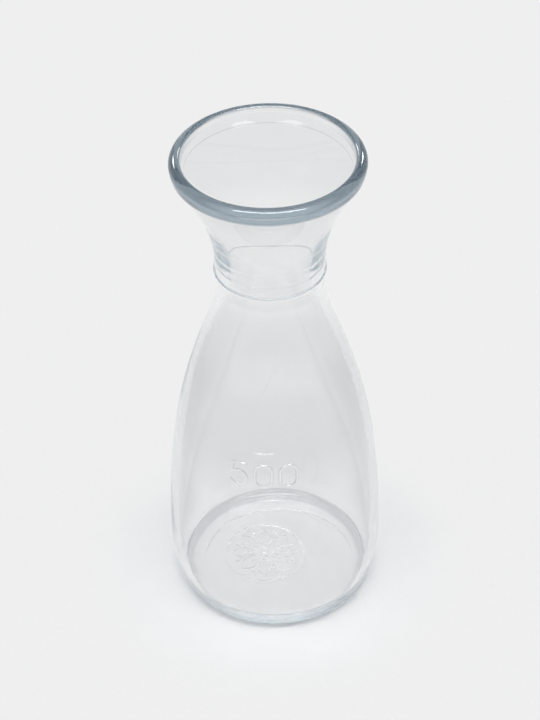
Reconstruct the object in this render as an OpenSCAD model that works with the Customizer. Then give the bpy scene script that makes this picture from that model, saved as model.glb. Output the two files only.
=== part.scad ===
// Half-litre table carafe in clear glass.
// The vessel is one moulded piece with a flared mouth, a slim neck with a fill ring, and a bell body.
// Every surface turns about Z, so the solid is one closed outline spun about that axis.
// The origin is at the centre of the base, on the table, and all sizes are in millimetres.

/* [Body] */
// Height from the table to the top of the lip
height = 204; // [200:1:220]
// Largest diameter of the body
body_d = 85; // [82:0.5:90]
// Height at which the body is widest
body_z = 24; // [20:0.5:30]
// Length of the upright pull above the widest point, which keeps the body full
body_pull = 82.5; // [60:0.5:95]
// Diameter of the body where the rounded heel ends
heel_d = 80; // [76:0.5:84]
// Radius of the rounded heel
heel_round = 5; // [3:0.5:8]

/* [Neck] */
// Outside diameter of the neck at its waist
neck_d = 41.8; // [38:0.2:46]
// Height at which the shoulder has run into the neck
neck_z = 146; // [140:1:150]
// Length of the upright pull below the neck, which hollows the shoulder
neck_pull = 20; // [10:1:40]
// Height of the middle of the fill ring
ring_z = 153.5; // [151:0.5:155]
// How far the fill ring stands proud of the neck
ring_proud = 0.5; // [0.3:0.1:1]
// Height at which the flare starts
flare_z = 156; // [155.5:0.5:162]
// Length of the upright pull above the neck, which delays the flare
flare_pull = 22; // [12:1:28]

/* [Mouth] */
// Outside diameter of the lip at its widest
rim_d = 73; // [72:0.2:76]
// Diameter of the mouth at the top of the lip
mouth_d = 64.2; // [61:0.2:65.2]
// Diameter of the mouth at the crease, where the flare inside begins
crease_d = 62.2; // [60:0.2:64]
// Radius of the outer rounding at the top of the lip
lip_round = 3; // [2.2:0.1:3.4]
// Height of the face of the lip, from its top to its lower edge outside
lip_h = 6.1; // [5:0.1:8]
// Depth of the crease inside, from the top of the lip
crease_h = 7.2; // [6:0.1:9]
// Lean from upright of the face of the lip, in degrees
lip_lean = 13; // [6:1:20]
// Lean from upright of the outside of the flare where it meets the lip, in degrees
flare_lean = 32; // [26:1:38]
// Lean from upright of the inside of the flare at the crease, in degrees
crease_lean = 28; // [22:1:36]

/* [Glass] */
// Thickness of the wall of the body
wall = 3.3; // [2.8:0.1:3.6]
// Thickness of the wall of the neck
neck_wall = 4.1; // [3.6:0.1:4.6]
// Thickness of the base over the bearing ring
base_thick = 4.2; // [3.8:0.2:6]
// How far the floor inside rises to its middle
floor_crown = 0.2; // [0:0.1:1]
// Reach of the hollow corner between the floor and the wall
floor_corner = 8.5; // [5:0.5:11]
// How far the underside is pushed up at its middle
push_up = 1.2; // [0.4:0.2:1.6]
// Width of the flat ring that the base stands on
bearing_w = 5; // [3:0.2:6]

/* [Hidden] */

// Steps along a long curve, a short curve, a rounding and a shallow dome
long_steps = 30;
short_steps = 12;
round_steps = 10;
dome_steps = 6;
// Facets of the colour preview
$fn = 128;

// Lengths of the pulls at the top of the flare, outside and inside
lip_pull = 6;
crease_pull = 7;
// Height of the straight bore above the shoulder, and length of the upright pull above it
bore_h = 4;
bore_pull = 18;
// How late along the body the wall starts to thicken towards the neck
neck_onset = 6;
// Rise and reach of the pull just above the heel, and length of the pull below the widest point
heel_pull = 4.5;
heel_reach = 0.48;
waist_pull = 9;
// Part of the heel's rise at which the wall inside takes over from the corner of the floor
corner_share = 0.12;
// How far the curve of that corner is drawn towards the sharp corner at each end
corner_pull = 0.42;

body_r = body_d / 2;
heel_r = heel_d / 2;
neck_r = neck_d / 2;
bore_r = neck_r - neck_wall;
bore_z = neck_z + bore_h;
rim_r = rim_d / 2;
mouth_r = mouth_d / 2;
inner_lip_round = rim_r - mouth_r - lip_round;
bearing_out = heel_r - heel_round;
bearing_in = bearing_out - bearing_w;

// Upward directions of the face of the lip, and of the two sides of the flare where they meet it
face_way = [sin(lip_lean), cos(lip_lean)];
flare_way = [sin(flare_lean), cos(flare_lean)];
crease_way = [sin(crease_lean), cos(crease_lean)];

// Ends of the four pulls of each curve, as points of radius and height
heel_curve = [
    [heel_r, heel_round],
    [heel_r + heel_reach * (body_r - heel_r), heel_round + heel_pull],
    [body_r, body_z - waist_pull],
    [body_r, body_z],
];
body_curve = [
    [body_r, body_z],
    [body_r, body_z + body_pull],
    [neck_r, neck_z - neck_pull],
    [neck_r, neck_z],
];
lip_centre = [rim_r - lip_round, height - lip_round];
face_top = lip_centre + lip_round * [face_way[1], -face_way[0]];
face_length = (face_top[1] - (height - lip_h)) / face_way[1];
lip_edge = face_top - face_length * face_way;
flare_curve = [
    [neck_r, flare_z],
    [neck_r, flare_z + flare_pull],
    lip_edge - lip_pull * flare_way,
    lip_edge,
];
crease = [crease_d / 2, height - crease_h];
inner_flare_curve = [
    [bore_r, bore_z],
    [bore_r, bore_z + bore_pull],
    crease - crease_pull * crease_way,
    crease,
];

// Point on a curve of four pulls, and its direction there, at t from 0 to 1
function point_on(c, t) =
    pow(1 - t, 3) * c[0] + 3 * pow(1 - t, 2) * t * c[1] + 3 * (1 - t) * t * t * c[2] + pow(t, 3) * c[3];
function direction_on(c, t) =
    let (d = pow(1 - t, 2) * (c[1] - c[0]) + 2 * (1 - t) * t * (c[2] - c[1]) + t * t * (c[3] - c[2]))
    d / norm(d);

// Point of the wall inside, one thickness in from the curve outside
function inside_of(c, t, thick) =
    let (d = direction_on(c, t))
    point_on(c, t) + thick * [-d[1], d[0]];

// Thickness of the wall at t along the body
function body_wall(t) = wall + (neck_wall - wall) * pow(t, neck_onset);

function along(c, steps) = [for (i = [0 : steps]) point_on(c, i / steps)];

// Arc about a centre, from one angle to another
function arc(centre, r, from, to) = [
    for (i = [0 : round_steps])
    let (a = from + (to - from) * i / round_steps)
    centre + r * [cos(a), sin(a)]
];

// Shallow dome from the axis out to a radius, standing on a base height
function dome(r, base_z, rise) = [
    for (i = [0 : dome_steps])
    let (share = i / dome_steps)
    [r * share, base_z + rise * (1 - share * share)]
];

function reversed(points) = [for (i = [len(points) - 1 : -1 : 0]) points[i]];

// Outside, from the middle of the underside up to the top of the lip
underside = dome(bearing_in, 0, push_up);
heel = arc([bearing_out, heel_round], heel_round, -90, 0);
fill_ring = arc([neck_r, ring_z], ring_proud, -90, 90);
lip_outside = arc(lip_centre, lip_round, -lip_lean, 90);
outside = concat(
    underside,
    heel,
    along(heel_curve, short_steps),
    along(body_curve, long_steps),
    fill_ring,
    along(flare_curve, short_steps),
    lip_outside
);

// Inside, from the top of the lip down to the middle of the floor
lip_inside = arc([mouth_r + inner_lip_round, height - inner_lip_round], inner_lip_round, 90, 180);
heel_inside = [
    for (i = [0 : short_steps])
    inside_of(heel_curve, corner_share + (1 - corner_share) * i / short_steps, wall)
];
body_inside = [
    for (i = [0 : long_steps])
    inside_of(body_curve, i / long_steps, body_wall(i / long_steps))
];
wall_foot = heel_inside[0];
wall_foot_way = direction_on(heel_curve, corner_share);
corner = [wall_foot[0] - wall_foot_way[0] / wall_foot_way[1] * (wall_foot[1] - base_thick), base_thick];
floor_r = corner[0] - floor_corner;
floor_edge = [floor_r, base_thick];
corner_curve = [
    floor_edge,
    floor_edge + corner_pull * (corner - floor_edge),
    wall_foot + corner_pull * (corner - wall_foot),
    wall_foot,
];
inside_up = concat(
    dome(floor_r, base_thick, floor_crown),
    along(corner_curve, short_steps),
    heel_inside,
    body_inside,
    along(inner_flare_curve, short_steps)
);

// Drops a point that repeats the one before it
same = 0.001;
function without_repeats(points) = [
    for (i = [0 : len(points) - 1])
    if (i == 0 || norm(points[i] - points[i - 1]) > same) points[i]
];

outline = without_repeats(concat(outside, lip_inside, reversed(inside_up)));

// The whole carafe: base, heel, bell body, neck with its fill ring, flare and thick lip with its face
module glass_vessel() {
    color("lightsteelblue", 0.5)
        rotate_extrude()
            polygon(outline);
}

glass_vessel();
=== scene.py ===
"""Looks of the half-litre glass carafe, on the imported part, in metres and in the part's own frame."""
import math

import bpy
import numpy as np
from mathutils import Matrix, Vector


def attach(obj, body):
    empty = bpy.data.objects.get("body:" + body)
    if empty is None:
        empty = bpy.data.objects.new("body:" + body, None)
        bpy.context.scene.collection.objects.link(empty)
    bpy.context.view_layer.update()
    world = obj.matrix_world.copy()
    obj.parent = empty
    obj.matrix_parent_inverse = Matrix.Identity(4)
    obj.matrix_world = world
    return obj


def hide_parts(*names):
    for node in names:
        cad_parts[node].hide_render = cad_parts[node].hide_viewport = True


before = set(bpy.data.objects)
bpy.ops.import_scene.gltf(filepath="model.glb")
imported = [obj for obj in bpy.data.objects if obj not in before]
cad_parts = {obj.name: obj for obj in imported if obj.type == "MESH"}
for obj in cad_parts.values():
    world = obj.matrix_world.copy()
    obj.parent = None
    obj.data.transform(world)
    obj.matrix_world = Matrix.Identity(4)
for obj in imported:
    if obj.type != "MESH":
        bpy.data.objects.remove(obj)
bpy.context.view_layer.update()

MM = 0.001
NODE = "glass_vessel"
BODY = "root"
MARK_SHARE = "mark_share"

# Driving sizes of the vessel in millimetres, under the names that the solid has them
height = 204.0
body_d, body_z, body_pull = 85.0, 24.0, 82.5
heel_d, heel_round = 80.0, 5.0
neck_d, neck_z, neck_pull = 41.8, 146.0, 20.0
ring_z, ring_proud = 153.5, 0.5
flare_z, flare_pull = 156.0, 22.0
rim_d, mouth_d, crease_d = 73.0, 64.2, 62.2
lip_round, lip_h, crease_h = 3.0, 6.1, 7.2
lip_lean, flare_lean, crease_lean = math.radians(13.0), math.radians(32.0), math.radians(28.0)
wall, neck_wall = 3.3, 4.1
base_thick, floor_crown, floor_corner = 4.2, 0.2, 8.5
push_up, bearing_w = 1.2, 5.0
lip_pull, crease_pull, bore_h, bore_pull, neck_onset = 6.0, 7.0, 4.0, 18.0, 6.0
heel_pull, heel_reach, waist_pull = 4.5, 0.48, 9.0
corner_share, corner_pull = 0.12, 0.42

# Spacing of the mesh in millimetres and degrees, and the distance below which two points are the same
wall_step = 0.9
lip_step = 0.3
ring_step = 0.12
mark_step = 0.15
underside_step = 0.3
footing_step = 0.15
seam_step = 0.06
column_step = 1.25
mark_column_step = 0.2
same_point = 0.01

# Points that an arc and a curve are worked out at, before they are spaced
arc_points = 200
curve_points = 400

# Raised capacity mark on the front: numerals with a fill line above them
mark_turn = math.radians(-6.3)
mark_z, mark_margin = 81.0, 3.0
digit_w, digit_h, digit_pitch = 6.6, 9.4, 9.8
line_half, line_up = 3.8, 9.6
stroke_w, stroke_edge, stroke_high = 0.55, 0.42, 0.45
mark_reach = math.radians(24.0)

# Ring and rosette moulded into the underside: how high they stand, where, and their line widths
rosette_high = 0.25
rosette_at = (-4.6, 3.7)
rosette_ring_r, rosette_ring_half = 16.5, 0.9
petals, petal_from, petal_length, petal_half, petal_fullness = 8, 4.2, 9.4, 2.9, 0.8
petal_line_half, petal_least = 0.55, 0.05
vein_share, vein_half, vein_from, vein_to = 0.6, 0.5, 5.6, 11.4
bead_r, bead_half, bead_top = 12.6, 0.9, 1.4
boss_r, boss_half = 2.6, 0.7
button_half, button_top = 1.1, 1.3

# Uneven groove that the mould leaves at the inner edge of the bearing ring, on the far half
groove_r, groove_half, groove_deep = 29.3, 0.45, 0.16
groove_wave, groove_counts, groove_phase = 0.35, (3, 7, 12, 19, 31), 1.7
groove_widen, groove_shift = 2.0, 1.2
groove_lead, groove_fade = 0.2, 0.5
groove_rows = 2.0

# Fine seam of the mould round the inside of the mouth
seam_high, seam_half = 0.02, 0.3

# Slow unevenness of the wall inside: waves to the turn, rise per radian in millimetres, phase and share
ripple_high = 0.06
ripple_waves = [(2, 31.0, 0.0, 1.0), (3, -17.0, 1.1, 0.7), (5, 11.0, 2.3, 0.5)]
ripple_start, ripple_rise, ripple_fall = 12.0, 20.0, 12.0

# The camera, as fitted to the photograph's outline: a 540 by 720 frame on a 36 mm long side
frame_long_px = 720.0
focal_px = 2362.7
camera_back, camera_up = 0.7126, 0.6889
look_down = math.radians(39.196)
look_turn = math.radians(-0.060)
look_roll = math.radians(-1.171)
sensor_mm = 36.0

# Sizes that follow from the driving ones
body_r, heel_r, neck_r = body_d / 2, heel_d / 2, neck_d / 2
bore_r, rim_r, mouth_r = neck_r - neck_wall, rim_d / 2, mouth_d / 2
bore_z = neck_z + bore_h
inner_lip_round = rim_r - mouth_r - lip_round
bearing_out = heel_r - heel_round
bearing_in = bearing_out - bearing_w
face_way, flare_way, crease_way = (
    np.array([math.sin(lean), math.cos(lean)]) for lean in (lip_lean, flare_lean, crease_lean)
)
lip_centre = np.array([rim_r - lip_round, height - lip_round])
face_top = lip_centre + lip_round * np.array([face_way[1], -face_way[0]])
face_drop = face_top[1] - (height - lip_h)
lip_edge = face_top - face_drop / face_way[1] * face_way
crease = np.array([crease_d / 2, height - crease_h])
lip_wall_top = np.array([mouth_r, height - inner_lip_round])

# Ends of the four pulls of each curve, as points of radius and height
heel_curve = [
    (heel_r, heel_round),
    (heel_r + heel_reach * (body_r - heel_r), heel_round + heel_pull),
    (body_r, body_z - waist_pull),
    (body_r, body_z),
]
body_curve = [
    (body_r, body_z),
    (body_r, body_z + body_pull),
    (neck_r, neck_z - neck_pull),
    (neck_r, neck_z),
]
flare_curve = [
    (neck_r, flare_z),
    (neck_r, flare_z + flare_pull),
    lip_edge - lip_pull * flare_way,
    lip_edge,
]
inner_flare_curve = [
    (bore_r, bore_z),
    (bore_r, bore_z + bore_pull),
    crease - crease_pull * crease_way,
    crease,
]


def point_on(pulls, t):
    """Points of a curve of four pulls at each t from 0 to 1."""
    a, b, c, d = (np.asarray(p, float) for p in pulls)
    t = np.asarray(t, float)[:, None]
    return (1 - t) ** 3 * a + 3 * (1 - t) ** 2 * t * b + 3 * (1 - t) * t**2 * c + t**3 * d


def direction_on(pulls, t):
    """Unit directions of the curve at each t."""
    a, b, c, d = (np.asarray(p, float) for p in pulls)
    t = np.asarray(t, float)[:, None]
    way = (1 - t) ** 2 * (b - a) + 2 * (1 - t) * t * (c - b) + t**2 * (d - c)
    return way / np.linalg.norm(way, axis=1)[:, None]


def inside_of(pulls, t, thick):
    """Points one thickness in from the curve, where the thickness is one number or one for each t."""
    way = direction_on(pulls, t)
    return point_on(pulls, t) + np.reshape(thick, (-1, 1)) * np.stack([-way[:, 1], way[:, 0]], axis=1)


def spread(points, step):
    """The same line with points about one step apart."""
    length = np.concatenate([[0], np.cumsum(np.linalg.norm(np.diff(points, axis=0), axis=1))])
    count = max(2, int(math.ceil(length[-1] / step)) + 1)
    at = np.linspace(0, length[-1], count)
    return np.stack([np.interp(at, length, points[:, i]) for i in (0, 1)], axis=1)


def straight(first, last):
    """A straight line between two points of radius and height."""
    return np.array([first, last])


def arc(centre, r, first, last):
    """Points of an arc, with its angles in degrees."""
    a = np.radians(np.linspace(first, last, arc_points))
    return np.asarray(centre, float) + r * np.stack([np.cos(a), np.sin(a)], axis=1)


def dome(r, base_z, rise):
    """Points of a shallow dome from the axis out to a radius."""
    share = np.linspace(0, 1, arc_points)
    return np.stack([r * share, base_z + rise * (1 - share**2)], axis=1)


def outside_stretches():
    """Name, line and spacing of each stretch from the middle of the underside to the top of the lip."""
    fine = np.linspace(0, 1, curve_points)
    under_line = dome(bearing_in, 0, push_up)
    by_groove = under_line[:, 0] > groove_r - groove_rows
    body_line = point_on(body_curve, fine)
    mark_low, mark_high = mark_z - digit_h, mark_z + line_up + mark_margin
    in_mark = (body_line[:, 1] > mark_low) & (body_line[:, 1] < mark_high)
    first_mark, last_mark = np.flatnonzero(in_mark)[[0, -1]]
    return [
        ("underside", under_line[~by_groove], underside_step),
        ("underside", under_line[by_groove], footing_step),
        ("bearing", straight((bearing_in, 0.0), (bearing_out, 0.0)), footing_step),
        ("outside", arc((bearing_out, heel_round), heel_round, -90, 0), lip_step),
        ("outside", point_on(heel_curve, fine), wall_step),
        ("outside", body_line[: first_mark + 1], wall_step),
        ("outside", body_line[first_mark : last_mark + 1], mark_step),
        ("outside", body_line[last_mark:], wall_step),
        ("ring", straight((neck_r, neck_z), (neck_r, ring_z - ring_proud)), wall_step),
        ("ring", arc((neck_r, ring_z), ring_proud, -90, 90), ring_step),
        ("ring", straight((neck_r, ring_z + ring_proud), (neck_r, flare_z)), wall_step),
        ("flare", point_on(flare_curve, fine), wall_step),
        ("lip", straight(lip_edge, face_top), lip_step),
        ("lip", arc(lip_centre, lip_round, -math.degrees(lip_lean), 90), lip_step),
    ]


def inside_stretches():
    """Name, line and spacing of each stretch from the top of the lip to the middle of the floor."""
    fine = np.linspace(0, 1, curve_points)
    inner_lip_centre = (mouth_r + inner_lip_round, height - inner_lip_round)
    seam_top = crease + seam_half / (lip_wall_top - crease)[1] * (lip_wall_top - crease)
    inner_flare = point_on(inner_flare_curve, fine)
    seam_rows = inner_flare[:, 1] > crease[1] - seam_half
    body_wall = wall + (neck_wall - wall) * fine**neck_onset

    foot_t = np.linspace(corner_share, 1, arc_points)
    wall_foot = inside_of(heel_curve, foot_t, wall)
    foot_way = direction_on(heel_curve, foot_t[:1])[0]
    corner_r = wall_foot[0, 0] - foot_way[0] / foot_way[1] * (wall_foot[0, 1] - base_thick)
    corner = np.array([corner_r, base_thick])
    floor_edge = np.array([corner_r - floor_corner, base_thick])
    corner_curve = [
        floor_edge,
        floor_edge + corner_pull * (corner - floor_edge),
        wall_foot[0] + corner_pull * (corner - wall_foot[0]),
        wall_foot[0],
    ]
    return [
        ("lip", arc(inner_lip_centre, inner_lip_round, 90, 180), lip_step),
        ("lip", straight(lip_wall_top, seam_top), lip_step),
        ("seam", straight(seam_top, crease), seam_step),
        ("seam", inner_flare[seam_rows][::-1], seam_step),
        ("inside", inner_flare[~seam_rows][::-1], wall_step),
        ("inside", straight((bore_r, bore_z), (bore_r, neck_z)), wall_step),
        ("inside", inside_of(body_curve, fine, body_wall)[::-1], wall_step),
        ("inside", wall_foot[::-1], wall_step),
        ("corner", point_on(corner_curve, fine)[::-1], lip_step),
        ("floor", dome(floor_edge[0], base_thick, floor_crown)[::-1], wall_step),
    ]


def build_outline():
    """The closed outline of the glass as rows of radius and height, with each row's stretch by name."""
    rows, names = [], []
    for name, line, step in outside_stretches() + inside_stretches():
        for point in spread(line, step):
            if not rows or np.linalg.norm(point - rows[-1]) > same_point:
                rows.append(point)
                names.append(name)
    return np.array(rows), np.array(names)


def outward_normals(rows):
    """Unit normals that point out of the glass, as parts along the radius and the height."""
    way = np.gradient(rows, axis=0)
    normal = np.stack([way[:, 1], -way[:, 0]], axis=1)
    normal /= np.linalg.norm(normal, axis=1)[:, None]
    normal[0] = (0, -1)
    normal[-1] = (0, 1)
    return normal


def column_angles():
    """Angles of the mesh's columns about Z, closer together across the capacity mark."""
    middle = -math.pi / 2 + mark_turn
    mark_count = int(round(2 * mark_reach / math.radians(mark_column_step)))
    rest = 2 * math.pi - 2 * mark_reach
    rest_count = int(round(rest / math.radians(column_step)))
    close = middle - mark_reach + 2 * mark_reach * np.arange(mark_count) / mark_count
    wide = middle + mark_reach + rest * np.arange(rest_count) / rest_count
    return np.concatenate([close, wide])


def smooth_step(x):
    """A smooth rise from 0 to 1 as x goes from 0 to 1."""
    x = np.clip(x, 0, 1)
    return x * x * (3 - 2 * x)


def distance_to_line(x, y, line):
    """Least distance from each point to an open line of points."""
    best = np.full(x.shape, np.inf)
    for (ax, ay), (bx, by) in zip(line[:-1], line[1:]):
        dx, dy = bx - ax, by - ay
        t = np.clip(((x - ax) * dx + (y - ay) * dy) / (dx * dx + dy * dy), 0, 1)
        best = np.minimum(best, np.hypot(x - ax - t * dx, y - ay - t * dy))
    return best


def oval(cx, cy, rx, ry, first, last, count=24):
    """Points of part of an oval, with its angles in degrees."""
    return [
        (cx + rx * math.cos(math.radians(a)), cy + ry * math.sin(math.radians(a)))
        for a in np.linspace(first, last, count)
    ]


# Centre lines of the numerals, in a box one wide and one high
five_stem = [(0.94, 1.0), (0.14, 1.0), (0.07, 0.55)]
five_bowl = oval(0.46, 0.33, 0.54, 0.33, 142, -150)
zero = oval(0.5, 0.68, 0.5, 0.32, 0, 180) + oval(0.5, 0.32, 0.5, 0.32, 180, 360) + [(1.0, 0.68)]
mark_digits = [[five_stem, five_bowl], [zero], [zero]]


def mark_lines():
    """Centre lines of the whole mark in millimetres, across and up from its middle."""
    lines = [[(-line_half, line_up), (line_half, line_up)]]
    for place, strokes in enumerate(mark_digits):
        left = (place - (len(mark_digits) - 1) / 2) * digit_pitch - digit_w / 2
        for stroke in strokes:
            lines.append([(left + x * digit_w, (y - 0.5) * digit_h) for x, y in stroke])
    return lines


def mark_relief(across, up):
    """How far the capacity mark stands out of the wall."""
    nearest = np.full(across.shape, np.inf)
    for line in mark_lines():
        nearest = np.minimum(nearest, distance_to_line(across, up, line))
    return stroke_high * np.clip((stroke_w / 2 + stroke_edge - nearest) / stroke_edge, 0, 1)


def rosette_relief(x, y):
    """How far the ring, petals, beads and boss stand out of the underside."""
    r = np.hypot(x, y)
    ring = smooth_step(1 - np.abs(r - rosette_ring_r) / rosette_ring_half)
    sector = 2 * math.pi / petals
    off = (np.arctan2(y, x) + sector / 2) % sector - sector / 2
    along, side = r * np.cos(off), np.abs(r * np.sin(off))
    along_share = np.clip((along - petal_from) / petal_length, 0, 1)
    half_width = petal_half * np.sin(np.pi * along_share) ** petal_fullness
    edge = smooth_step(1 - np.abs(side - half_width) / petal_line_half) * (half_width > petal_least)
    on_vein = (along > vein_from) & (along < vein_to)
    vein = vein_share * smooth_step(1 - side / vein_half) * on_vein
    off_bead = off - np.sign(off) * sector / 2
    from_bead = np.hypot(r * np.cos(off_bead) - bead_r, r * np.sin(off_bead))
    bead = smooth_step(bead_top - from_bead / bead_half)
    boss = smooth_step(1 - np.abs(r - boss_r) / boss_half) + smooth_step(button_top - r / button_half)
    return rosette_high * np.maximum.reduce([ring, edge, vein, bead, boss])


def slow_wave(turn, counts, phase):
    """An uneven line round the vessel, from -1 to 1, made of a few waves to the turn."""
    waves = [np.cos(count * turn + phase * place) for place, count in enumerate(counts)]
    return sum(waves) / len(counts)


def groove_relief(r, turn):
    """How far the groove by the bearing ring goes up into the underside."""
    middle = groove_r + groove_widen * np.cos(turn) ** 2 + groove_shift * np.cos(turn)
    middle += groove_wave * slow_wave(turn, groove_counts, groove_phase)
    behind = smooth_step((np.sin(turn) + groove_lead) / groove_fade)
    return -groove_deep * behind * smooth_step(1 - np.abs(r - middle) / groove_half)


def seam_relief(up):
    """How far the fine seam of the mould stands out of the wall at the crease inside the mouth."""
    return seam_high * smooth_step(1 - np.abs(up - (height - crease_h)) / seam_half)


def wall_ripple(turn, up):
    """Slow unevenness of the wall inside, as blown and pressed glass has it."""
    waves = [
        share * np.cos(count * turn + up / rise + phase)
        for count, rise, phase, share in ripple_waves
    ]
    fade = smooth_step((up - ripple_start) / ripple_rise)
    fade = fade * smooth_step((height - crease_h - up) / ripple_fall)
    return ripple_high * fade * sum(waves)


def surface_relief(r, z, turn, name):
    """How far each point stands out of the plain outline, and its share of the mark's height."""
    out = np.zeros_like(r)

    def within(*stretches):
        """Points whose row is in one of these stretches."""
        return np.isin(name, stretches)[:, None] & np.ones(r.shape, bool)

    front = (turn + math.pi / 2 - mark_turn + math.pi) % (2 * math.pi) - math.pi
    by_mark = (np.abs(front) < mark_reach) & (np.abs(z - mark_z) < 2 * digit_h)
    on_mark = within("outside") & by_mark
    out[on_mark] += mark_relief((front * r)[on_mark], (z - mark_z)[on_mark])
    mark_share = out.reshape(-1) / stroke_high

    under = within("underside")
    x, y = r * np.cos(turn), r * np.sin(turn)
    out[under] += rosette_relief(x[under] - rosette_at[0], y[under] - rosette_at[1])
    footing = within("underside", "bearing")
    out[footing] += groove_relief(r[footing], turn[footing])
    seam = within("seam")
    out[seam] += seam_relief(z[seam])
    inner = within("inside")
    out[inner] += wall_ripple(turn[inner], z[inner])
    return out, mark_share


def grid_faces(lines, count):
    """Quads between closed lines of points, and a fan of triangles to a pole at each end."""
    i = np.arange(lines - 1)[:, None] * count
    j = np.arange(count)[None, :]
    k = (j + 1) % count
    quads = np.stack([i + j, i + k, i + count + k, i + count + j], axis=-1).reshape(-1, 4)
    first_pole, last_pole = lines * count, lines * count + 1
    last_line = (lines - 1) * count
    pairs = [(c, (c + 1) % count) for c in range(count)]
    fans = [(after, before, first_pole) for before, after in pairs]
    fans += [(last_line + before, last_line + after, last_pole) for before, after in pairs]
    return quads.tolist() + fans


def glass_mesh():
    """The vessel as one closed mesh, with its mark, rosette and unevenness in the shape itself."""
    rows, names = build_outline()
    normals = outward_normals(rows)
    turns = column_angles()
    count = len(turns)
    ring_rows = slice(1, len(rows) - 1)
    r = np.repeat(rows[ring_rows, :1], count, axis=1)
    z = np.repeat(rows[ring_rows, 1:], count, axis=1)
    turn = np.repeat(turns[None, :], r.shape[0], axis=0)
    out, mark_share = surface_relief(r, z, turn, names[ring_rows])
    r = r + out * normals[ring_rows, :1]
    z = z + out * normals[ring_rows, 1:]
    ring_points = np.stack([r * np.cos(turn), r * np.sin(turn), z], axis=-1).reshape(-1, 3)
    poles = np.array([(0, 0, rows[0, 1]), (0, 0, rows[-1, 1])])
    points = np.concatenate([ring_points, poles]) * MM

    mesh = bpy.data.meshes.new("carafe_glass")
    mesh.from_pydata(points.tolist(), [], grid_faces(r.shape[0], count))
    mesh.polygons.foreach_set("use_smooth", np.ones(len(mesh.polygons), bool))
    mesh.update()
    share = mesh.attributes.new(MARK_SHARE, "FLOAT", "POINT")
    share.data.foreach_set("value", np.concatenate([mark_share, [0.0, 0.0]]))
    return mesh


# Refraction of the glass, and the faint tint and density that its thickness adds
glass_ior = 1.52
thick_colour, thick_density = (0.55, 0.66, 0.72, 1.0), 2.4
# Painted shade: grey that light takes on as it crosses the wall, at heights in millimetres, standing in
# for the room and floor seen darker through the glass
painted_wall_shades = [
    (9.0, 1.0),
    (14.0, 0.96),
    (28.0, 0.952),
    (45.0, 0.965),
    (66.0, 0.97),
    (78.0, 0.912),
    (88.0, 0.865),
    (100.0, 0.86),
    (110.0, 0.866),
    (118.0, 0.915),
    (125.0, 0.96),
    (140.0, 0.985),
    (150.0, 0.99),
    (165.0, 0.97),
    (180.0, 0.915),
]
clear_colour = (1.0, 1.0, 1.0, 1.0)

# Painted shade on the sides of the body seen edge-on: its colour, shares of edge-on view, and heights
# that they set in and end at
side_shade_colour = (0.80, 0.80, 0.815, 1.0)
side_from, side_to = 0.38, 0.66
side_foot, side_low = 9.0, 22.0
side_full, side_top = 118.0, 146.0

# Slopes of the raised mark: their painted shade colour, and the shares of edge-on view over which they
# lose it
flank_shade_colour = (0.25, 0.25, 0.27, 1.0)
flank_from, flank_to = 0.5, 0.8

# Lip: its slate colour, partly the tint of thick glass and partly painted shade of the dark room seen in
# it, the deeper painted shade of its top and face, and the shares of edge-on view that bring them in
lip_tint_and_shade_colour = (0.18, 0.26, 0.325, 1.0)
lip_shade_colour = (0.078, 0.116, 0.15, 1.0)
lip_shown_from, lip_shown_to = 0.08, 0.23
top_deep_from, top_deep_to = 0.05, 0.20
face_deep_from, face_deep_to = 0.47, 0.68
# Where the lip's face starts, in millimetres of height plus twice the radius
face_from, face_to = 268.4, 271.0
# Heights where the lip's rounding, the deeper painted shade of its top, and its crown set in
rounding_from, rounding_to = 200.9, 201.5
deep_from, deep_to = 201.2, 202.0
crown_from, crown_to = 202.8, 203.6
# Share of its colour that the rounding has towards the mouth, and the radii where that share grows to 1
rounding_least, rounding_in, rounding_out = 0.55, 33.2, 34.6

# Heel: its blue grey edge-on, partly the tint of thick glass and partly painted shade, its painted grey
# shade from within, and the shares of edge-on view between them
heel_tint_and_shade_colour = (0.66, 0.715, 0.755, 1.0)
heel_inner_shade_colour = (0.67, 0.675, 0.69, 1.0)
heel_edge_from, heel_edge_to = 0.16, 0.34
# Where the heel starts, in millimetres of radius less height
heel_from, heel_to = 35.0, 36.5

# Painted lines inside the mouth, a painted shade line along the crease and a painted light line that
# clears the lip's slate at its inner edge: height, half width and colour, and the radius that they lie
# within
painted_mouth_lines = [
    (197.4, 0.32, (0.66, 0.66, 0.70, 1.0)),
    (201.9, 0.3, clear_colour),
]
mouth_from, mouth_to = 33.2, 32.6

# Fill ring: its painted shade colour, half height of that shade, the radius that it lies beyond, and its
# roughness
ring_shade_colour = (0.80, 0.82, 0.84, 1.0)
ring_half, ring_from, ring_to, ring_rough = 0.8, 19.0, 20.0, 0.35

# Shallow unevenness of the fire-polished skin, in waves to the metre and metres, and its roughness
skin_scale, skin_deep = 70.0, 0.00001
skin_least, skin_most = 0.0, 0.012


def feed(tree, socket, value):
    """Gives a socket another node's output, or a plain value."""
    if isinstance(value, bpy.types.NodeSocket):
        tree.links.new(value, socket)
    else:
        socket.default_value = value


def worked_out(tree, operation, first, second=0.0):
    """The result of an operation on one or two values."""
    node = tree.nodes.new("ShaderNodeMath")
    node.operation = operation
    feed(tree, node.inputs[0], first)
    feed(tree, node.inputs[1], second)
    return node.outputs["Value"]


def times(tree, first, second):
    """The product of two values."""
    return worked_out(tree, "MULTIPLY", first, second)


def larger(tree, first, second):
    """The larger of two values."""
    return worked_out(tree, "MAXIMUM", first, second)


def ranged(tree, source, first, last, least=0.0):
    """A smooth step of a value between two limits, from its least up to one."""
    node = tree.nodes.new("ShaderNodeMapRange")
    node.interpolation_type = "SMOOTHSTEP"
    feed(tree, node.inputs["Value"], source)
    node.inputs["From Min"].default_value = first
    node.inputs["From Max"].default_value = last
    node.inputs["To Min"].default_value = least
    return node.outputs["Result"]


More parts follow.
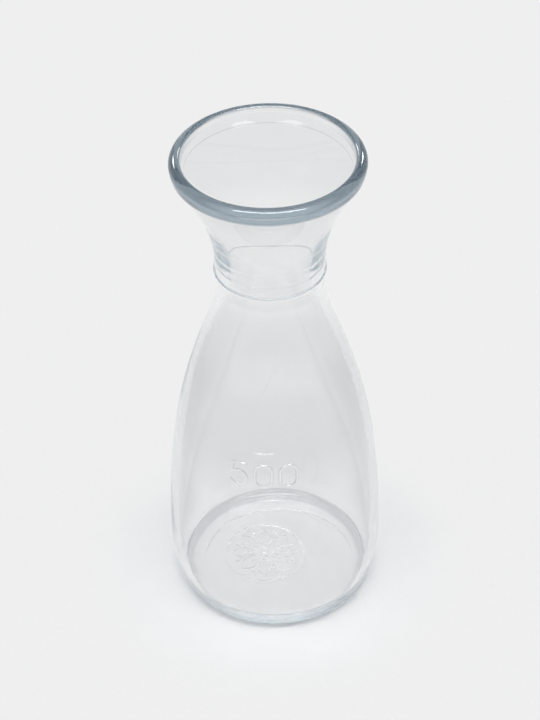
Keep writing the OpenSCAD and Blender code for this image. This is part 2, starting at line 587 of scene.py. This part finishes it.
def ranged_mm(tree, source, first, last, least=0.0):
    """The same step of a length, with its limits in millimetres."""
    return ranged(tree, source, first * MM, last * MM, least)


def line_at(tree, source, middle, half):
    """A soft line where a length passes its middle, with both sizes in millimetres."""
    off = worked_out(tree, "ABSOLUTE", worked_out(tree, "SUBTRACT", source, middle * MM))
    return ranged_mm(tree, off, half, half / 2)


def tinted(tree, under, colour, share):
    """One colour laid over another by a share."""
    node = tree.nodes.new("ShaderNodeMix")
    node.data_type = "RGBA"
    feed(tree, node.inputs["A"], under)
    feed(tree, node.inputs["B"], colour)
    feed(tree, node.inputs["Factor"], share)
    return node.outputs["Result"]


def distance_from_axis(tree, place):
    """The distance of a place from the Z axis."""
    level = tree.nodes.new("ShaderNodeVectorMath")
    level.operation = "MULTIPLY"
    level.inputs[1].default_value = (1.0, 1.0, 0.0)
    tree.links.new(place, level.inputs[0])
    length = tree.nodes.new("ShaderNodeVectorMath")
    length.operation = "LENGTH"
    tree.links.new(level.outputs["Vector"], length.inputs[0])
    return length.outputs["Value"]


def uneven(tree, place, scale, deep, shader):
    """Gives a shader a noisy surface, and returns the noise."""
    noise = tree.nodes.new("ShaderNodeTexNoise")
    noise.inputs["Scale"].default_value = scale
    tree.links.new(place, noise.inputs["Vector"])
    bump = tree.nodes.new("ShaderNodeBump")
    bump.inputs["Distance"].default_value = deep
    tree.links.new(noise.outputs["Fac"], bump.inputs["Height"])
    tree.links.new(bump.outputs["Normal"], shader.inputs["Normal"])
    return noise.outputs["Fac"]


def painted_shade_by_height(tree, up):
    """The painted shade of the wall at each height."""
    ramp = tree.nodes.new("ShaderNodeValToRGB")
    tree.links.new(worked_out(tree, "DIVIDE", up, height * MM), ramp.inputs["Fac"])
    stops = ramp.color_ramp.elements
    while len(stops) < len(painted_wall_shades):
        stops.new(0.5)
    for stop, (level, grey) in zip(stops, painted_wall_shades):
        stop.position = level / height
        stop.color = (grey, grey, grey, 1.0)
    return ramp.outputs["Color"]


def paint_side_shade(tree, colour, up, facing):
    """Paints shade on the sides of the body where the wall is seen edge-on."""
    on_body = times(
        tree,
        ranged_mm(tree, up, side_top, side_full),
        ranged_mm(tree, up, side_foot, side_low),
    )
    on_side = times(tree, on_body, ranged(tree, facing, side_from, side_to))
    return tinted(tree, colour, side_shade_colour, on_side)


def paint_mark_light_and_shade(tree, colour, facing):
    """Lifts the painted wall shade off the raised mark so it shows lighter, and paints shade on its
    slopes.
    """
    attribute = tree.nodes.new("ShaderNodeAttribute")
    attribute.attribute_name = MARK_SHARE
    mark = attribute.outputs["Fac"]
    slope = times(tree, mark, worked_out(tree, "SUBTRACT", 1.0, mark))
    flank_shade = times(tree, slope, ranged(tree, facing, flank_to, flank_from))
    return tinted(tree, tinted(tree, colour, clear_colour, mark), flank_shade_colour, flank_shade)


def paint_lip_tint_and_shade(tree, colour, up, radius, facing):
    """Lays slate blue on the lip, partly glass tint and partly painted shade, with deeper painted shade
    on its top and where its face turns away.
    """
    up_and_out = worked_out(tree, "ADD", times(tree, radius, 2.0), up)
    on_lip = larger(
        tree,
        ranged_mm(tree, up_and_out, face_from, face_to),
        ranged_mm(tree, up, crown_from, crown_to),
    )
    on_rounding = times(
        tree,
        ranged_mm(tree, up, rounding_from, rounding_to),
        ranged_mm(tree, radius, rounding_in, rounding_out, rounding_least),
    )
    shown = larger(tree, on_rounding, ranged(tree, facing, lip_shown_from, lip_shown_to))
    # Painted shade: a deeper slate on the top, and on the face where it turns away
    top_shade = times(
        tree,
        ranged_mm(tree, up, deep_from, deep_to),
        ranged(tree, facing, top_deep_from, top_deep_to),
    )
    deep = larger(tree, top_shade, ranged(tree, facing, face_deep_from, face_deep_to))
    slate_and_shade = tinted(tree, lip_tint_and_shade_colour, lip_shade_colour, deep)
    return tinted(tree, colour, slate_and_shade, times(tree, on_lip, shown))


def paint_heel_tint_and_shade(tree, colour, up, radius, facing):
    """Lays blue grey on the heel, partly glass tint and partly painted shade, and a painted grey shade
    where it is seen from within the glass.
    """
    in_heel = ranged_mm(tree, worked_out(tree, "SUBTRACT", radius, up), heel_from, heel_to)
    edge_on = ranged(tree, facing, heel_edge_from, heel_edge_to)
    return tinted(tree, colour, tinted(tree, heel_inner_shade_colour, heel_tint_and_shade_colour, edge_on), in_heel)


def paint_mouth_lines(tree, colour, up, radius):
    """Paints a shade line at the crease and a light line at the lip's inner edge, inside the mouth."""
    in_mouth = ranged_mm(tree, radius, mouth_from, mouth_to)
    for level, half, line_colour in painted_mouth_lines:
        colour = tinted(tree, colour, line_colour, times(tree, line_at(tree, up, level, half), in_mouth))
    return colour


def glass_material():
    """Clear glass with painted grey shade on the wall, a slate blue lip and heel that are partly glass
    tint and partly painted shade, and a fire-polished skin.
    """
    material = bpy.data.materials.new("clear_glass")
    material.use_nodes = True
    tree = material.node_tree
    shader = tree.nodes["Principled BSDF"]
    shader.inputs["Transmission Weight"].default_value = 1.0
    shader.inputs["IOR"].default_value = glass_ior
    place = tree.nodes.new("ShaderNodeTexCoord").outputs["Object"]
    parts = tree.nodes.new("ShaderNodeSeparateXYZ")
    tree.links.new(place, parts.inputs["Vector"])
    up = parts.outputs["Z"]
    radius = distance_from_axis(tree, place)
    facing = tree.nodes.new("ShaderNodeLayerWeight").outputs["Facing"]

    # Painted shade by height and on the edge-on sides, then the mark, lip, heel, mouth lines and ring
    # with their painted light and shade
    colour = paint_side_shade(tree, painted_shade_by_height(tree, up), up, facing)
    colour = paint_mark_light_and_shade(tree, colour, facing)
    colour = paint_lip_tint_and_shade(tree, colour, up, radius, facing)
    colour = paint_heel_tint_and_shade(tree, colour, up, radius, facing)
    colour = paint_mouth_lines(tree, colour, up, radius)
    # Painted shade on the fill ring; the same mask also roughens it
    on_ring = times(
        tree,
        line_at(tree, up, ring_z, ring_half),
        ranged_mm(tree, radius, ring_from, ring_to),
    )
    colour = tinted(tree, colour, ring_shade_colour, on_ring)
    tree.links.new(colour, shader.inputs["Base Color"])

    skin = uneven(tree, place, skin_scale, skin_deep, shader)
    gloss = tree.nodes.new("ShaderNodeMapRange")
    gloss.inputs["To Min"].default_value = skin_least
    gloss.inputs["To Max"].default_value = skin_most
    tree.links.new(skin, gloss.inputs["Value"])
    rough = larger(tree, gloss.outputs["Result"], times(tree, on_ring, ring_rough))
    tree.links.new(rough, shader.inputs["Roughness"])

    absorb = tree.nodes.new("ShaderNodeVolumeAbsorption")
    absorb.inputs["Color"].default_value = thick_colour
    absorb.inputs["Density"].default_value = thick_density
    tree.links.new(absorb.outputs["Volume"], tree.nodes["Material Output"].inputs["Volume"])
    return material


def make_vessel():
    """The glass, as the one piece that stands for the solid."""
    vessel = bpy.data.objects.new("carafe_glass", glass_mesh())
    bpy.context.scene.collection.objects.link(vessel)
    vessel.data.materials.append(glass_material())
    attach(vessel, BODY)
    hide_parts(NODE)


# Floor: its grey, and in metres its half width, its gap below the base and where it fades into the room
floor_grey = 0.863
floor_half, floor_gap = 8.0, 0.0001
table_near, table_far = 2.0, 5.0
# Share of the floor that shows its own pale grey without shade, in the glass and outside the shadow
glass_glow, open_glow = 0.5, 0.9
# Distances from the axis, in metres, over which the shadow gives way to that grey
shadow_near, shadow_far = 0.044, 0.085
# Grain of the paper, in waves to the metre, and its depth in metres
grain_scale, grain_deep = 900.0, 0.0001

# Room round the floor and overhead, and the heights of a unit direction between which they blend
room_colour = (0.74, 0.765, 0.785, 1.0)
zenith_colour = (0.52, 0.55, 0.575, 1.0)
room_up, zenith_up = 0.12, 0.5

# Lamps: name, place and size in metres, radiance, colour, and whether it only glints on the glass
white, warm = (1.0, 1.0, 1.0), (1.0, 0.965, 0.935)
softboxes = [
    ("overhead_softbox", (0.0, -1.3, 7.9), (8.0, 4.0), 2.64, warm, False),
    ("overhead_strip", (0.0, -2.9, 7.45), (8.0, 1.6), 12.0, white, True),
    ("left_softbox", (-2.44, 4.65, 2.90), (0.8, 0.8), 14.0, white, True),
    ("right_softbox", (2.44, 4.65, 2.90), (0.8, 0.8), 14.0, white, True),
]
# Watts of an area lamp to each square metre and unit of radiance
watts_of_radiance = 4.0

# Bounces of light in all, and through glass
most_bounces, most_crossings = 128, 64


def floor_material():
    """Pale paper that keeps the carafe's shadow, and fades far off into the slate grey room."""
    material = bpy.data.materials.new("floor_paper")
    material.use_nodes = True
    tree = material.node_tree
    shader = tree.nodes["Principled BSDF"]
    shader.inputs["Roughness"].default_value = 1.0
    shader.inputs["Specular IOR Level"].default_value = 0.0
    place = tree.nodes.new("ShaderNodeTexCoord").outputs["Object"]
    away = distance_from_axis(tree, place)
    paper = (floor_grey, floor_grey, floor_grey, 1.0)
    colour = tinted(tree, paper, room_colour, ranged(tree, away, table_near, table_far))
    tree.links.new(colour, shader.inputs["Base Color"])
    uneven(tree, place, grain_scale, grain_deep, shader)

    glow = tree.nodes.new("ShaderNodeEmission")
    tree.links.new(colour, glow.inputs["Color"])
    path = tree.nodes.new("ShaderNodeLightPath").outputs
    in_glass = times(tree, larger(tree, path["Is Glossy Ray"], path["Is Transmission Ray"]), glass_glow)
    in_open = times(tree, path["Is Camera Ray"], open_glow)
    in_open = times(tree, in_open, ranged(tree, away, shadow_near, shadow_far))
    both = tree.nodes.new("ShaderNodeMixShader")
    tree.links.new(larger(tree, in_glass, in_open), both.inputs["Fac"])
    tree.links.new(shader.outputs["BSDF"], both.inputs[1])
    tree.links.new(glow.outputs["Emission"], both.inputs[2])
    tree.links.new(both.outputs["Shader"], tree.nodes["Material Output"].inputs["Surface"])
    return material


def make_floor():
    """A plain pale table top."""
    ends = (-floor_half, floor_half)
    corners = [(x, y, -floor_gap) for y in ends for x in ends]
    mesh = bpy.data.meshes.new("floor")
    mesh.from_pydata(corners, [], [(0, 1, 3, 2)])
    floor = bpy.data.objects.new("floor", mesh)
    bpy.context.scene.collection.objects.link(floor)
    mesh.materials.append(floor_material())


def make_softbox(name, place, size, radiance, colour, glint):
    """A lamp aimed at the carafe's middle, which lights the scene or only glints on the glass."""
    lamp = bpy.data.lights.new(name, "AREA")
    lamp.shape = "RECTANGLE"
    lamp.size, lamp.size_y = size
    lamp.energy = watts_of_radiance * radiance * size[0] * size[1]
    lamp.color = colour
    box = bpy.data.objects.new(name, lamp)
    box.location = place
    box.visible_diffuse = not glint
    box.visible_transmission = not glint
    box.visible_glossy = glint
    aim = Vector((0, 0, height / 2 * MM)) - Vector(place)
    box.rotation_euler = aim.to_track_quat("-Z", "Y").to_euler()
    bpy.context.scene.collection.objects.link(box)


def make_world():
    """Pale near the horizon and slate grey overhead, as a studio with a dark ceiling."""
    world = bpy.data.worlds.new("studio")
    bpy.context.scene.world = world
    world.use_nodes = True
    nodes, links = world.node_tree.nodes, world.node_tree.links
    place = nodes.new("ShaderNodeTexCoord")
    parts = nodes.new("ShaderNodeSeparateXYZ")
    ramp = nodes.new("ShaderNodeValToRGB")
    links.new(place.outputs["Generated"], parts.inputs["Vector"])
    links.new(parts.outputs["Z"], ramp.inputs["Fac"])
    links.new(ramp.outputs["Color"], nodes["Background"].inputs["Color"])
    low, high = ramp.color_ramp.elements
    low.position, low.color = room_up, room_colour
    high.position, high.color = zenith_up, zenith_colour


def make_camera():
    """The photograph's view: looking down at the carafe, turned and rolled a little."""
    turn_c, turn_s = math.cos(look_turn), math.sin(look_turn)
    down_c, down_s = math.cos(look_down), math.sin(look_down)
    roll_c, roll_s = math.cos(look_roll), math.sin(look_roll)
    ahead = Vector((turn_s * down_c, turn_c * down_c, -down_s))
    level = Vector((turn_c, -turn_s, 0))
    above = Vector((turn_s * down_s, turn_c * down_s, down_c))
    right = roll_c * level + roll_s * above
    up = roll_c * above - roll_s * level
    data = bpy.data.cameras.new("camera")
    data.sensor_fit = "AUTO"
    data.sensor_width = sensor_mm
    data.lens = focal_px / frame_long_px * sensor_mm
    camera = bpy.data.objects.new("camera", data)
    axes = Matrix((right, up, -ahead)).transposed().to_4x4()
    camera.matrix_world = Matrix.Translation((0, -camera_back, camera_up)) @ axes
    bpy.context.scene.collection.objects.link(camera)
    bpy.context.scene.camera = camera


def set_light_paths():
    """Enough bounces for light to find its way through the lip and the base."""
    cycles = bpy.context.scene.cycles
    cycles.max_bounces = most_bounces
    cycles.glossy_bounces = most_bounces
    cycles.transmission_bounces = most_crossings
    cycles.blur_glossy = 0.0


make_vessel()
make_floor()
for softbox in softboxes:
    make_softbox(*softbox)
make_world()
make_camera()
set_light_paths()
bpy.context.scene.view_settings.view_transform = "Standard"
